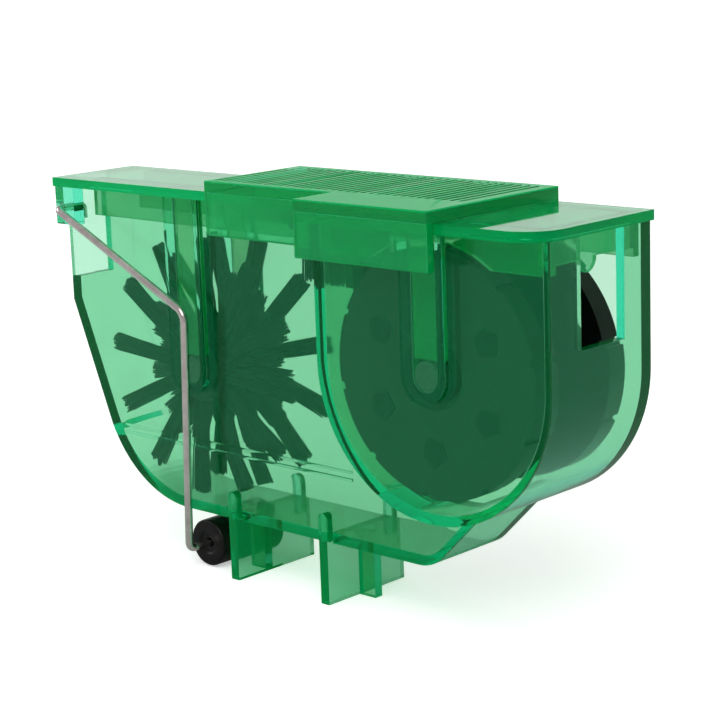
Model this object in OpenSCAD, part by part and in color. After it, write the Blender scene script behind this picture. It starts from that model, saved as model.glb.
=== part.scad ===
/* [Tank] */
// Length of the tank between its end walls
tank_len = 170; // [168:1:178]
// Depth of the tank from the front of the drum chamber to the back wall
tank_depth = 36; // [34:0.5:40]
// How far the drum chamber stands forward of the main front wall
chamber_step = 12.8; // [11:0.2:14]
// Height of the tank rim above the ground
rim_z = 96.6; // [95:0.2:102]
// Height of the underside of the tank floor above the ground
floor_z = 15.2; // [14:0.2:16]
// Thickness of the moulded tank walls
wall = 2.2; // [1.8:0.1:2.6]
// Height at which the left end wall starts to lean inwards
lean_z = 66; // [60:1:70]
// How far the leaning wall has moved in where it would meet the floor
lean_run = 20.2; // [16:0.2:22]
// Radius between the leaning wall and the floor
toe_r = 32; // [24:1:34]
// Where the flat floor would meet the rising floor, from the left end
keel_x = 125; // [120:1:128]
// Radius between the flat floor and the rising floor
keel_r = 10; // [6:1:12]

/* [Chain windows] */
// Height of the sill of both chain windows above the ground
sill_z = 72.2; // [68:0.2:76]
// Front edge of the right window from the front of the drum chamber
window_front = 11; // [9:0.5:13]
// Back edge of both windows from the front of the drum chamber
window_back = 26.3; // [24:0.1:28]

/* [Axle guides] */
// Height of the raised guide channels on the front walls
guide_proud = 1.8; // [1.4:0.1:2.2]
// Thickness of the clear face that closes a guide channel
guide_face = 2; // [1.6:0.1:2.2]
// Width of the moulded border on each side of a guide channel
guide_border = 2.7; // [2:0.1:3.2]
// Height of the U-shaped rear guide ribs inside the back wall
rear_rib = 1.4; // [1:0.1:1.6]

/* [Guide wheel] */
// Distance of the wheel axle from the right end of the tank
wheel_inset = 33.6; // [33:0.2:35]
// Height of the wheel axle above the ground
wheel_z = 64.4; // [62:0.2:66]
// Radius of the two wheel discs
wheel_r = 28.3; // [26:0.1:29]
// Thickness of each wheel disc at its rim
disc_t = 5.6; // [4:0.2:6.4]
// Radius of the core that carries the chain between the discs
core_r = 12; // [10:0.5:14]
// Diameter of both plastic axles
axle_d = 7; // [6:0.1:7.4]
// Radial running clearance of an axle in its guide
axle_fit = 0.06; // [0.05:0.01:0.1]
// Number of shallow notches around each disc
notches = 10; // [6:1:14]
// Width of a rim notch
notch_w = 1.6; // [1:0.1:2]
// Depth of a rim notch
notch_d = 0.8; // [0.5:0.1:1.2]
// Number of raised five-sided pads on each disc face
pads = 6; // [4:1:8]
// Radius of a five-sided pad
pad_r = 3.6; // [2.6:0.2:4]
// Height of a five-sided pad
pad_h = 0.4; // [0.3:0.1:0.5]

/* [Rotary brush] */
// Distance of the brush axle from the left end of the tank
brush_x = 46; // [45:0.5:48]
// Height of the brush axle above the ground
brush_z = 52.5; // [51.5:0.5:54]
// Reach of the long bristles from the axle
long_r = 33.5; // [30:0.5:34]
// Reach of the short middle bristles from the axle
short_r = 23.5; // [20:0.5:25]
// Radius of the brush hub
hub_r = 9; // [8:0.5:11]
// Number of bristle tufts around the hub in each row
tufts = 12; // [9:1:13]
// Thickness of one drawn bristle strand
strand = 0.55; // [0.4:0.05:0.7]

/* [Top brush] */
// Left end of the fixed brush under the lid, from the left end of the tank
comb_x = 80; // [78:1:84]
// Length of the fixed brush
comb_len = 27; // [24:1:28]
// Depth of the fixed brush block
comb_w = 8.6; // [7:0.2:9]
// Thickness of the fixed brush block
comb_t = 5; // [4:0.5:6]
// Height of the cut bristle ends above the ground
comb_tip_z = 77.6; // [76:0.2:80]
// Number of tufts along the fixed brush
comb_tufts = 6; // [4:1:7]

/* [Lid] */
// Thickness of the lid plate
lid_t = 2.35; // [2:0.05:3]
// Overhang of the lid in front of the tank
lid_front = 3.9; // [3:0.1:4.4]
// Overhang of the lid behind the tank
lid_back = 0.65; // [0.4:0.05:1]
// Overhang of the lid beyond the left end of the tank
lid_left = 0.9; // [0.6:0.1:1.4]
// Overhang of the lid beyond the right end of the tank
lid_right = 0.6; // [0.4:0.1:1]
// Radius of the rounded front right corner of the lid
lid_corner_r = 9; // [6:0.5:10]
// Depth of the locating lip below the lid plate
lip_h = 7.6; // [5:0.2:8]
// Thickness of the locating lip
lip_t = 2; // [1.4:0.1:2.4]
// Clearance between the locating lip and the tank walls
lip_fit = 0.3; // [0.2:0.05:0.5]
// Radius of the half-round tab that hangs in the right window
tab_r = 3.2; // [2.4:0.2:4]

/* [Cover clip] */
// Left end of the clip from the left end of the tank
clip_x = 60.4; // [56:0.2:64]
// Length of the whole clip
clip_len = 82.6; // [80:0.2:86]
// Length of the part of the clip that stands forward over the drum chamber
clip_front_len = 39.8; // [36:0.2:41]
// Thickness of the clip walls
clip_wall = 2.2; // [1.8:0.1:2.6]
// Thickness of the clip top
clip_top = 3; // [2.4:0.1:3.6]
// Height of the clip skirts below the clip top
clip_skirt = 10.4; // [8:0.2:12]
// Clearance between the clip and the lid edge
clip_fit = 0.3; // [0.2:0.05:0.5]
// Spacing of the grip ribs
rib_pitch = 2.4; // [2:0.1:3]
// Height of the grip ribs
rib_h = 0.7; // [0.4:0.1:1]

/* [Feet] */
// Distance of the first foot from the left end of the tank
foot1_x = 60.1; // [60:0.5:64]
// Distance of the second foot from the left end of the tank
foot2_x = 91.7; // [88:0.5:96]
// Thickness of the foot plates and their fins
foot_t = 2.8; // [2.2:0.1:3.2]
// How far the feet stand out in front of and behind the tank
foot_proud = 2; // [1.4:0.1:2]
// Height of the tabs that climb the tank walls, above the ground
foot_tab_z = 23; // [20:0.5:25]
// Length of the cross fin on each foot
fin_len = 5.2; // [4:0.2:5.4]

/* [Swing arm] */
// Diameter of the bent wire
wire_d = 2; // [1.8:0.1:2.2]
// Distance of the wire pivot from the left end of the tank
pivot_x = 1.8; // [1.6:0.1:3]
// Height of the wire pivot above the ground
pivot_z = 90.9; // [90:0.1:92]
// Distance of the knee from the left end of the tank
knee_x = 49.6; // [46:0.2:52]
// Height of the knee above the ground
knee_z = 68.1; // [66:0.2:70]
// Radius of the right-angled wire bends at the centre of the wire
bend_r = 1.9; // [1.7:0.1:2.2]
// Radius of the knee at the centre of the wire
knee_r = 4; // [3:0.5:6]
// Distance of the roller axle from the left end of the tank
roller_x = 46.8; // [44:0.2:46.8]
// Radius of the roller
roller_r = 6.1; // [5.6:0.1:6.2]
// Height of the roller above the ground when the arm is parked
roller_lift = 0.3; // [0.1:0.1:0.5]
// Length of the roller
roller_len = 20.4; // [18:0.2:20.6]
// Radial running clearance of the wire in its holes
wire_fit = 0.08; // [0.05:0.01:0.1]

/* [Hidden] */

// Overrun of every cut past the face it opens
over = 1;
// Facets of true round surfaces
round_fn = 96;
wire_fn = 32;
// Air left between parts that pass each other
air = 0.3;
// Face to face seat of one flat part on another
seat = 0.05;

// Places worked out from the sizes above
lid_z = rim_z + lid_t;
top_z = lid_z + seat + clip_top;
wheel_x = tank_len - wheel_inset;
chamber_r = wheel_inset;
inner_front = chamber_step + wall;
inner_back = tank_depth - wall;
lean_a = atan(lean_run / (lean_z - floor_z));
lid_front_y = chamber_step - lid_front;
clip_back_y = tank_depth + lid_back + clip_fit + clip_wall;
clip_main_y = lid_front_y - clip_fit - clip_wall;
clip_step_y = -lid_front - clip_fit - clip_wall;
clip_step_x = clip_x + clip_len - clip_front_len;
box_left = -lid_left;
box_right = tank_len + lid_right;
origin_x = (box_left + box_right) / 2;
origin_y = (clip_step_y + clip_back_y) / 2;
axle_r = axle_d / 2;
slot_r = axle_r + axle_fit;
rear_rib_top = rim_z - lip_h - air;

// Keel rises at this angle
keel_a = 45;
keel_run = wheel_x + (wheel_x - keel_x) * 0.45 - keel_x;

// Level line on the main front wall
level_z = 33.8;
level_x = 18.6;
level_len = 82;
level_w = 0.7;
level_proud = 0.3;
level_gap = 1.9;

// Lug that carries the wire pivot
lug_proud = 3.2;
lug_len = 7.4;
lug_h = 10;

// Pads and hub of the discs
hub_ring_r = 8;
hub_ring_h = 0.5;
pad_place = 17.5;

// Rows of the rotary brush along its axle
row_long_in = 2.1;
hub_gap = 0.2;
hub_end = tank_depth - wall - rear_rib - air;
brush_front_y = inner_front + hub_gap;
row_front = brush_front_y + row_long_in;
row_rear = hub_end - row_long_in;
row_mid = (row_front + row_rear) / 2;
slice_w = 2.4;
mid_slice_w = 7;
tuft_w = 2.1;
tuft_spread = 1.3;
tuft_d = 1.5;
tuft_side = 0.6;
mid_tuft_d = 5;
strand_root = 0.8;
// Radius of the hub inside the flat-sided rings that hold the tufts
hub_core_r = hub_r * cos(180 / tufts) - strand_root;

// Fixed brush
comb_y = inner_front + 0.6;
comb_strand = 0.6;
comb_slice = 0.8;

// Keeper tongues
keeper_t = 1.3;
keeper_gap = 0.4;

// Wheel places along the axle
disc_gap = 0.8;
disc_front_y = wall + disc_gap;
disc_rear_y = inner_back - rear_rib - air - disc_t;
disc_edge = 0.6;

// Wire shape
arm_y = chamber_step - lug_proud - bend_r - wire_fit;
roller_z = roller_r + roller_lift;
roller_y = chamber_step + 1.2;
wire_end = 2.4;
nut_t = 1.2;
nut_r = 2.6;
hook_y = inner_front + 2.6;
hook_len = 3.4;
wire_r = wire_d / 2;
// A bent wire swells a little, and each straight run starts inside that swelling
bend_swell = 0.03;
run_in = 0.1;

// Carries a drawing in the X-Z plane from y0 back to y1
module slab(y0, y1) {
    translate([0, y1, 0])
    rotate([90, 0, 0])
    linear_extrude(height = y1 - y0)
    children();
}

// Corner of the leaning wall and the floor, moved in by w
function toe(w) = [(lean_z - floor_z - w) * tan(lean_a) + w / cos(lean_a), floor_z + w];
// Corner of the flat and the rising floor, moved in by w
function keel(w) = [keel_x - w * tan(keel_a / 2), floor_z + w];

// Sliver outside a rounded corner with centre c, radius r and tangent points t1 and t2
module corner_sliver(p, c, r, t1, t2) {
    difference() {
        polygon([t1, p + (p - c) / r, t2, c]);
        translate(c)
        circle(r, $fn = round_fn);
    }
}

// U-shaped outline of the drum chamber, moved in by w, open above by up
module chamber_outline(w, up) {
    intersection() {
        translate([wheel_x, wheel_z])
        circle(chamber_r - w, $fn = round_fn * 2);
        translate([wheel_x - chamber_r, wheel_z - chamber_r])
        square([2 * chamber_r, rim_z + up - wheel_z + chamber_r]);
    }
    translate([wheel_x - chamber_r + w, wheel_z])
    square([2 * (chamber_r - w), rim_z + up - wheel_z]);
}

// Side outline of the whole tank, moved in by w, open above by up
module tank_outline(w, up) {
    p_toe = toe(w);
    c_toe = toe(toe_r);
    r_toe = toe_r - w;
    p_keel = keel(w);
    c_keel = keel(keel_r);
    r_keel = keel_r - w;
    difference() {
        polygon([
            [w, rim_z + up],
            [w, lean_z + w * tan(lean_a / 2)],
            p_toe,
            p_keel,
            [keel_x + keel_run, floor_z + keel_run * tan(keel_a) + w / cos(keel_a)],
            [wheel_x, wheel_z],
            [wheel_x, rim_z + up]
        ]);
        corner_sliver(p_toe, c_toe, r_toe,
            c_toe - r_toe * [cos(lean_a), sin(lean_a)], [c_toe[0], floor_z + w]);
        corner_sliver(p_keel, c_keel, r_keel,
            [c_keel[0], floor_z + w], c_keel + r_keel * [sin(keel_a), -cos(keel_a)]);
    }
    chamber_outline(w, up);
}

// Upright channel outline with a round foot at [x, z], up to height top
module channel(x, z, r, top) {
    translate([x, z])
    circle(r, $fn = round_fn);
    translate([x - r, z])
    square([2 * r, top - z]);
}

module front_guide(x, z, y) {
    slab(y - guide_proud, y + over)
    channel(x, z, slot_r + guide_border, rim_z);
}

module front_guide_cut(x, z, y) {
    slab(y - guide_proud + guide_face, y + wall + over)
    channel(x, z, slot_r, rim_z + over);
}

module rear_guide(x, z) {
    slab(inner_back - rear_rib, inner_back + over)
    difference() {
        channel(x, z, slot_r + guide_border, rear_rib_top);
        channel(x, z, slot_r, rim_z);
    }
}

module tank() {
    color([0.1, 0.65, 0.35, 0.5])
    difference() {
        union() {
            difference() {
                union() {
                    slab(chamber_step, tank_depth)
                    tank_outline(0, 0);
                    slab(0, inner_front)
                    chamber_outline(0, 0);
                    front_guide(brush_x, brush_z, chamber_step);
                    front_guide(wheel_x, wheel_z, 0);
                    translate([box_left, chamber_step - lug_proud, rim_z - lug_h])
                    cube([lug_len, lug_proud + wall, lug_h]);
                    for (i = [0, 1])
                    translate([level_x, chamber_step - level_proud, level_z - i * level_gap])
                    cube([level_len, wall, level_w]);
                }
                slab(inner_front, inner_back)
                tank_outline(wall, over);
                slab(wall, inner_back)
                chamber_outline(wall, over);
            }
            rear_guide(brush_x, brush_z);
            rear_guide(wheel_x, wheel_z);
        }
        front_guide_cut(brush_x, brush_z, chamber_step);
        front_guide_cut(wheel_x, wheel_z, 0);
        translate([-over, inner_front, sill_z])
        cube([wall + 2 * over, window_back - inner_front, rim_z]);
        translate([tank_len - wall - over, window_front, sill_z])
        cube([wall + 2 * over, window_back - window_front, rim_z]);
        translate([pivot_x, inner_front + over, pivot_z])
        rotate([90, 0, 0])
        cylinder(r = wire_r + wire_fit, h = lug_proud + wall + 2 * over, $fn = round_fn);
    }
}

// Foot plate with wall tabs and one cross fin that points along side
module foot(x, side) {
    fin_y = (chamber_step + tank_depth) / 2 - foot_t;
    color([0.1, 0.65, 0.35, 0.5]) {
        translate([x - foot_t / 2, chamber_step - foot_proud, 0])
        cube([foot_t, tank_depth - chamber_step + 2 * foot_proud, floor_z]);
        for (y = [chamber_step - foot_proud, tank_depth])
        slab(y, y + foot_proud) {
            translate([x - foot_t / 2, 0])
            square([foot_t, foot_tab_z - foot_t / 2]);
            translate([x, foot_tab_z - foot_t / 2])
            circle(foot_t / 2, $fn = wire_fn);
        }
        translate([side > 0 ? x : x - foot_t / 2 - fin_len, fin_y, 0])
        cube([fin_len + foot_t / 2, foot_t - air, floor_z]);
    }
}

module left_foot() {
    foot(foot1_x, -1);
}

module right_foot() {
    foot(foot2_x, 1);
}

// Plan of the lid: narrow at the left, deeper over the drum chamber
module lid_plan() {
    front = -lid_front;
    step_x = tank_len - 2 * chamber_r;
    difference() {
        union() {
            translate([box_left, lid_front_y])
            square([box_right - box_left, tank_depth + lid_back - lid_front_y]);
            translate([step_x, front])
            square([box_right - step_x, tank_depth + lid_back - front]);
        }
        corner_sliver([box_right, front], [box_right - lid_corner_r, front + lid_corner_r], lid_corner_r,
            [box_right - lid_corner_r, front], [box_right, front + lid_corner_r]);
    }
}

// Lip that drops inside the tank walls
module lid_lip() {
    z = rim_z - lip_h;
    y_front = wall + lip_fit;
    x_right = tank_len - wall - lip_fit;
    x_start = lug_len + lip_t;
    x_chamber = wheel_x - chamber_r + wall + lip_fit;
    y_back = inner_back - lip_fit;
    difference() {
        union() {
            translate([x_start, inner_front + lip_fit, z])
            cube([x_chamber - x_start, lip_t, lip_h]);
            translate([x_chamber, y_front, z])
            cube([lip_t, inner_front + lip_fit + lip_t - y_front, lip_h]);
            translate([x_chamber, y_front, z])
            cube([x_right - x_chamber, lip_t, lip_h]);
            translate([x_right - lip_t, y_front, z + lip_t])
            cube([lip_t, y_back - y_front, lip_h - lip_t]);
            translate([x_start, y_back - lip_t, z])
            cube([x_right - x_start, lip_t, lip_h]);
        }
        for (g = [[brush_x, brush_z], [wheel_x, wheel_z]])
        translate([g[0] - slot_r - air, y_back - lip_t - over, z - over])
        cube([2 * (slot_r + air), lip_t + 2 * over, lip_h + over - seat]);
        slab(0, tank_depth)
        translate([wheel_x, wheel_z])
        circle(wheel_r + 2 * disc_gap, $fn = round_fn);
    }
}

module lid() {
    tab_y = (window_front + window_back) / 2 - lip_t;
    x_right = tank_len - wall - lip_fit;
    color([0.1, 0.65, 0.35, 0.5]) {
        translate([0, 0, rim_z])
        linear_extrude(height = lid_t)
        lid_plan();
        translate([0, 0, seat])
        lid_lip();
        translate([x_right - lip_t, tab_y, rim_z - lip_h + lip_t])
        rotate([0, 90, 0])
        cylinder(r = tab_r, h = lip_t, $fn = round_fn);
    }
}

// Tongue from the lid down a guide channel, ending just above the axle
module keeper(x, z, y) {
    foot_z = z + axle_r + keeper_gap;
    translate([x - slot_r + air, y, foot_z])
    cube([2 * (slot_r - air), keeper_t, rim_z - foot_z]);
}

module wheel_axle_keepers() {
    color([0.1, 0.7, 0.4, 0.5]) {
        keeper(wheel_x, wheel_z, guide_face - guide_proud + air);
        keeper(wheel_x, wheel_z, inner_back - air / 2 - keeper_t);
    }
}

module brush_axle_keepers() {
    color([0.1, 0.7, 0.4, 0.5]) {
        keeper(brush_x, brush_z, chamber_step + guide_face - guide_proud + air);
        keeper(brush_x, brush_z, inner_back - air / 2 - keeper_t);
    }
}

// Box of the clip, grown inwards by w on its outer faces
module clip_plan(w) {
    translate([clip_x + w, clip_main_y + w])
    square([clip_len - 2 * w, clip_back_y - clip_main_y - 2 * w]);
    translate([clip_step_x + w, clip_step_y + w])
    square([clip_front_len - 2 * w, clip_back_y - clip_step_y - 2 * w]);
}

module cover_clip() {
    under = lid_z + seat;
    rib_margin = 1.6;
    rib_count = floor((clip_len - 2 * rib_margin) / rib_pitch);
    groove = rib_pitch / 2;
    color([0.05, 0.6, 0.3, 0.6])
    difference() {
        translate([0, 0, under - clip_skirt])
        linear_extrude(height = clip_skirt + clip_top)
        clip_plan(0);
        translate([clip_x - over, clip_main_y + clip_wall, under - clip_skirt - over])
        cube([clip_step_x + over + clip_wall - clip_x, tank_depth + lid_back + clip_fit - clip_main_y - clip_wall,
            clip_skirt + over]);
        translate([tank_len - 2 * chamber_r - clip_fit, clip_step_y + clip_wall, under - clip_skirt - over])
        cube([clip_len, tank_depth + lid_back + clip_fit - clip_step_y - clip_wall, clip_skirt + over]);
        for (i = [0 : rib_count - 1])
        translate([clip_x + rib_margin + i * rib_pitch, clip_main_y + clip_wall, top_z - rib_h])
        cube([groove, clip_back_y - clip_main_y - 2 * clip_wall, rib_h + over]);
    }
}

module top_brush_block() {
    color([0.06, 0.06, 0.06])
    translate([comb_x, comb_y + lip_fit + lip_t, rim_z - comb_t])
    cube([comb_len, comb_w, comb_t]);
}

// Two rows of tufts under the block, each a small grid of upright strands
module top_brush_bristles() {
    pitch = comb_len / comb_tufts;
    y0 = comb_y + lip_fit + lip_t;
    foot_z = rim_z - comb_t - comb_slice;
    color([0.03, 0.03, 0.03]) {
        translate([comb_x, y0, foot_z])
        cube([comb_len, comb_w, comb_slice]);
        for (i = [0 : comb_tufts - 1], row = [0, 1], a = [-1, 0, 1], b = [-1, 1])
        translate([
            comb_x + pitch * (i + 1 / 2) + a * 2 * comb_strand - comb_strand / 2,
            y0 + comb_w * (1 + 2 * row) / 4 + b * comb_strand - comb_strand / 2,
            comb_tip_z])
        cube([comb_strand, comb_strand, foot_z + comb_slice / 2 - comb_tip_z]);
    }
}

module brush_axle() {
    y0 = chamber_step - guide_proud + guide_face + air;
    color([0.12, 0.12, 0.12])
    translate([brush_x, inner_back - air, brush_z])
    rotate([90, 0, 0])
    cylinder(d = axle_d, h = inner_back - air - y0, $fn = round_fn);
}

// Hub between the bristle slices, with the axle bore
module brush_hub() {
    color([0.1, 0.1, 0.1])
    slab(brush_front_y, hub_end)
    translate([brush_x, brush_z])
    difference() {
        circle(hub_core_r, $fn = round_fn);
        circle(axle_r, $fn = round_fn);
    }
}

// One row of tufts on a ring slice round the hub
module bristle_row(y, reach, phase, cols, width, depth) {
    root = hub_core_r + strand_root / 2;
    len = reach - root;
    translate([brush_x, y, brush_z]) {
        rotate([90, 0, 0])
        translate([0, 0, -width / 2])
        linear_extrude(height = width)
        difference() {
            rotate(180 / tufts - phase)
            circle(hub_r, $fn = tufts);
            circle(hub_core_r, $fn = round_fn);
        }
        for (i = [0 : tufts - 1], u = [-1 : 2 / (cols - 1) : 1], v = [-1, 0, 1])
        rotate([0, phase + i * 360 / tufts, 0])
        translate([root, v * depth / 2, u * tuft_w / 2])
        rotate([0, -u * atan(tuft_spread / len), v * atan(tuft_side / len)])
        translate([0, -strand / 2, -strand / 2])
        cube([len * (1 - abs(u) * 0.03), strand, strand]);
    }
}

module front_brush_bristles() {
    color([0.03, 0.03, 0.03])
    bristle_row(row_front, long_r, 5, 3, slice_w, tuft_d);
}

module middle_brush_bristles() {
    color([0.03, 0.03, 0.03])
    bristle_row(row_mid, short_r, 20, 2, mid_slice_w, mid_tuft_d);
}

module rear_brush_bristles() {
    color([0.03, 0.03, 0.03])
    bristle_row(row_rear, long_r, 17, 3, slice_w, tuft_d);
}

module wheel_axle() {
    y0 = guide_face - guide_proud + air;
    color([0.2, 0.2, 0.2])
    translate([wheel_x, inner_back - air, wheel_z])
    rotate([90, 0, 0])
    cylinder(d = axle_d, h = inner_back - air - y0, $fn = round_fn);
}

module wheel_core() {
    color([0.04, 0.04, 0.04])
    slab(disc_front_y + disc_t, disc_rear_y)
    translate([wheel_x, wheel_z])
    difference() {
        circle(core_r, $fn = round_fn);
        circle(axle_r, $fn = round_fn);
    }
}

// Five-sided pads, standing round the hub with a point outwards
module disc_pads() {
    for (i = [0 : pads - 1])
    rotate(i * 360 / pads + 360 / pads / 2)
    translate([pad_place, 0])
    circle(pad_r, $fn = 5);
}

module wheel_disc(y) {
    translate([0, y + disc_t, 0])
    translate([wheel_x, 0, wheel_z])
    rotate([90, 0, 0])
    difference() {
        linear_extrude(height = disc_t)
        circle(wheel_r, $fn = round_fn * 2);
        translate([0, 0, -over])
        cylinder(r = axle_r, h = disc_t + 2 * over, $fn = round_fn);
        for (i = [0 : notches - 1])
        rotate(i * 360 / notches + 360 / notches / 3)
        translate([wheel_r - notch_d, -notch_w / 2, -over])
        cube([notch_d + over, notch_w, disc_t + 2 * over]);
    }
}

// Raised ring and pads on an outer disc face, from y to y + h
module disc_face(y, h) {
    slab(y, y + h)
    translate([wheel_x, wheel_z])
    disc_pads();
}

module wheel_front_disc() {
    color([0.05, 0.05, 0.05]) {
        wheel_disc(disc_front_y);
        disc_face(disc_front_y - pad_h, pad_h);
        slab(disc_front_y - hub_ring_h, disc_front_y)
        translate([wheel_x, wheel_z])
        difference() {
            circle(hub_ring_r, $fn = round_fn);
            circle(axle_r, $fn = round_fn);
        }
    }
}

module wheel_rear_disc() {
    color([0.05, 0.05, 0.05])
    wheel_disc(disc_rear_y);
}

function unit(v) = v / norm(v);

// Straight run of wire from a to b, reaching a little into the bend at its start and end
module run(a, b, start = 1, end = 1) {
    d = b - a;
    e = unit(d) * run_in;
    translate(a - e * start)
    rotate([0, acos(d[2] / norm(d)), atan2(d[1], d[0])])
    cylinder(r = wire_r, h = norm(d) + run_in * (start + end), $fn = round_fn);
}

// Length that a bend of radius r takes off each of its two runs, u and v
function bend_reach(u, v, r) = r * tan(acos(u * v) / 2);

// Bend of radius r at corner q, from direction u to direction v
module bend(q, u, v, r) {
    turn = acos(u * v);
    m = unit(v - u * (u * v));
    c = q - u * bend_reach(u, v, r) + m * r;
    w = cross(-m, u);
    reach = r + wire_d;
    multmatrix([
        [-m[0], u[0], w[0], c[0]],
        [-m[1], u[1], w[1], c[1]],
        [-m[2], u[2], w[2], c[2]],
        [0, 0, 0, 1]])
    intersection() {
        rotate_extrude($fn = round_fn)
        translate([r, 0])
        circle(wire_r + bend_swell, $fn = wire_fn);
        linear_extrude(height = 2 * wire_d, center = true)
        polygon([
            [0, 0],
            reach * [1, 0],
            reach * [cos(turn / 2), sin(turn / 2)] / cos(turn / 2),
            reach * [cos(turn), sin(turn)]
        ]);
    }
}

module arm_wire() {
    pivot = [pivot_x, arm_y, pivot_z];
    knee = [knee_x, arm_y, knee_z];
    heel = [roller_x, arm_y, roller_z];
    tail = [roller_x, roller_y + roller_len + wire_end, roller_z];
    hook = [pivot_x, hook_y, pivot_z];
    upper = unit(knee - pivot);
    lower = unit(heel - knee);
    back = [0, 1, 0];
    down = [0, 0, -1];
    color([0.55, 0.5, 0.48]) {
        run(hook, pivot + back * bend_r, start = 0);
        bend(pivot, -back, upper, bend_r);
        run(pivot + upper * bend_r, knee - upper * bend_reach(upper, lower, knee_r));
        bend(knee, upper, lower, knee_r);
        run(knee + lower * bend_reach(upper, lower, knee_r), heel - lower * bend_r);
        bend(heel, lower, back, bend_r);
        run(heel + back * bend_r, tail, end = 0);
        translate(hook + down * hook_len)
        cylinder(r = wire_r + bend_swell, h = hook_len + wire_r / 2, $fn = round_fn);
    }
}

module arm_push_nut() {
    color([0.3, 0.3, 0.3])
    slab(roller_y + roller_len + air, roller_y + roller_len + air + nut_t)
    translate([roller_x, roller_z])
    difference() {
        circle(nut_r, $fn = round_fn);
        circle(wire_r, $fn = round_fn);
    }
}

module roller() {
    color([0.07, 0.06, 0.06])
    slab(roller_y, roller_y + roller_len)
    translate([roller_x, roller_z])
    difference() {
        circle(roller_r, $fn = round_fn);
        circle(wire_r + wire_fit, $fn = round_fn);
    }
}

translate([-origin_x, -origin_y, 0]) {
    tank();
    left_foot();
    right_foot();
    lid();
    wheel_axle_keepers();
    brush_axle_keepers();
    cover_clip();
    top_brush_block();
    top_brush_bristles();
    brush_axle();
    brush_hub();
    front_brush_bristles();
    middle_brush_bristles();
    rear_brush_bristles();
    wheel_axle();
    wheel_core();
    wheel_front_disc();
    wheel_rear_disc();
    arm_wire();
    arm_push_nut();
    roller();
}
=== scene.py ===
"""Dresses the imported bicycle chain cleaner: clear green mouldings, black bristles and wheel, bright wire arm.

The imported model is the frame. Every piece here is worked out in metres in that frame, from the boxes of the
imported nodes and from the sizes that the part's source also uses.
"""
import logging
import math
from dataclasses import dataclass, field
from enum import Enum
from typing import Callable, Iterable

import bmesh
import bpy
import numpy as np
from mathutils import Matrix, Vector


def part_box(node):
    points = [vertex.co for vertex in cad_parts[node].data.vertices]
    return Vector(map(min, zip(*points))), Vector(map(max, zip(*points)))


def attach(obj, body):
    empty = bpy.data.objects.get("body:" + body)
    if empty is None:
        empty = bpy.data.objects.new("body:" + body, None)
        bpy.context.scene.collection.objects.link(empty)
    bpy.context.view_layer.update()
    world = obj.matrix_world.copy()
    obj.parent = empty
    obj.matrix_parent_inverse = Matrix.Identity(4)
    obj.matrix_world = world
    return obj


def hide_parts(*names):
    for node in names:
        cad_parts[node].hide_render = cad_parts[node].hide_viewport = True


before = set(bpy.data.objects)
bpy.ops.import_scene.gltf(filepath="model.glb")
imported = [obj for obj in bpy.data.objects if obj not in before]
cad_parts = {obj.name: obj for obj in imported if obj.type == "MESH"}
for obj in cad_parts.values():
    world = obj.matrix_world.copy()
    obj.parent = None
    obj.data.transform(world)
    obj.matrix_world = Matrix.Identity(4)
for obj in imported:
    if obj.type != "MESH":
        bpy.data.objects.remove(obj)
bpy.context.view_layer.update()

LOG = logging.getLogger("chain_cleaner")
MM = 0.001
WELD = 2e-6  # points closer than this, in metres, become one point
FLAT = math.radians(0.6)  # faces that turn by less than this lie in one plane
CREASE = math.radians(30)  # edges that turn by more than this are rounded
SMOOTH = math.radians(40)  # edges that turn by less than this are shaded smooth
SEGMENTS = 3  # faces across each rounding
FACE_WEIGHT = 60  # how strongly the larger faces hold the shading at their corners
CORNER_SHARE = 0.45  # largest share of a side that one rounded corner takes
NOISE_SPAN = (0.3, 0.7)  # the span of values that noise mostly fills

Colour = tuple[float, float, float]
Socket = bpy.types.NodeSocket


class Body(Enum):
    """The moving bodies that pieces ride on."""

    TANK = "tank_body"
    LID = "lid_body"
    CLIP = "clip_body"
    BRUSH = "brush_body"
    WHEEL = "wheel_body"
    ARM = "arm_body"
    ROLLER = "roller_body"


class Slot(Enum):
    """The material slots that the record names."""

    TANK = "clear_green_tank"
    LID = "clear_green_lid"
    CLIP = "clear_green_clip"
    BRISTLE = "black_bristle"
    BLACK = "black_plastic"
    GREY = "grey_plastic"
    WIRE = "steel_wire"
    SPRING = "spring_steel"
    RUBBER = "black_rubber"


@dataclass(frozen=True)
class Datum:
    """The tank's left front lower corner in the row frame, from which sizes in millimetres are counted."""

    lid_left: float = 0.9
    lid_front: float = 3.9

    def origin(self) -> np.ndarray:
        """Gives the datum corner in metres, from the lid's box and its two overhangs."""
        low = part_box("lid")[0]
        return np.array([low[0] + self.lid_left * MM, low[1] + self.lid_front * MM, 0.0])

    def at(self, x: float, y: float, z: float) -> np.ndarray:
        """Gives the place in the row frame, in metres, of a point in tank millimetres.

        Args:
            x: distance from the tank's left end, rightwards.
            y: distance from the drum chamber's front, backwards.
            z: height above the ground.

        Returns:
            The point as three numbers in metres.
        """
        return self.origin() + np.array([x, y, z]) * MM


def centre_of(node: str) -> np.ndarray:
    """Gives the middle of a node's box in metres."""
    low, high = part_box(node)
    return (np.array(low) + np.array(high)) / 2


# Meshes


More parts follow.
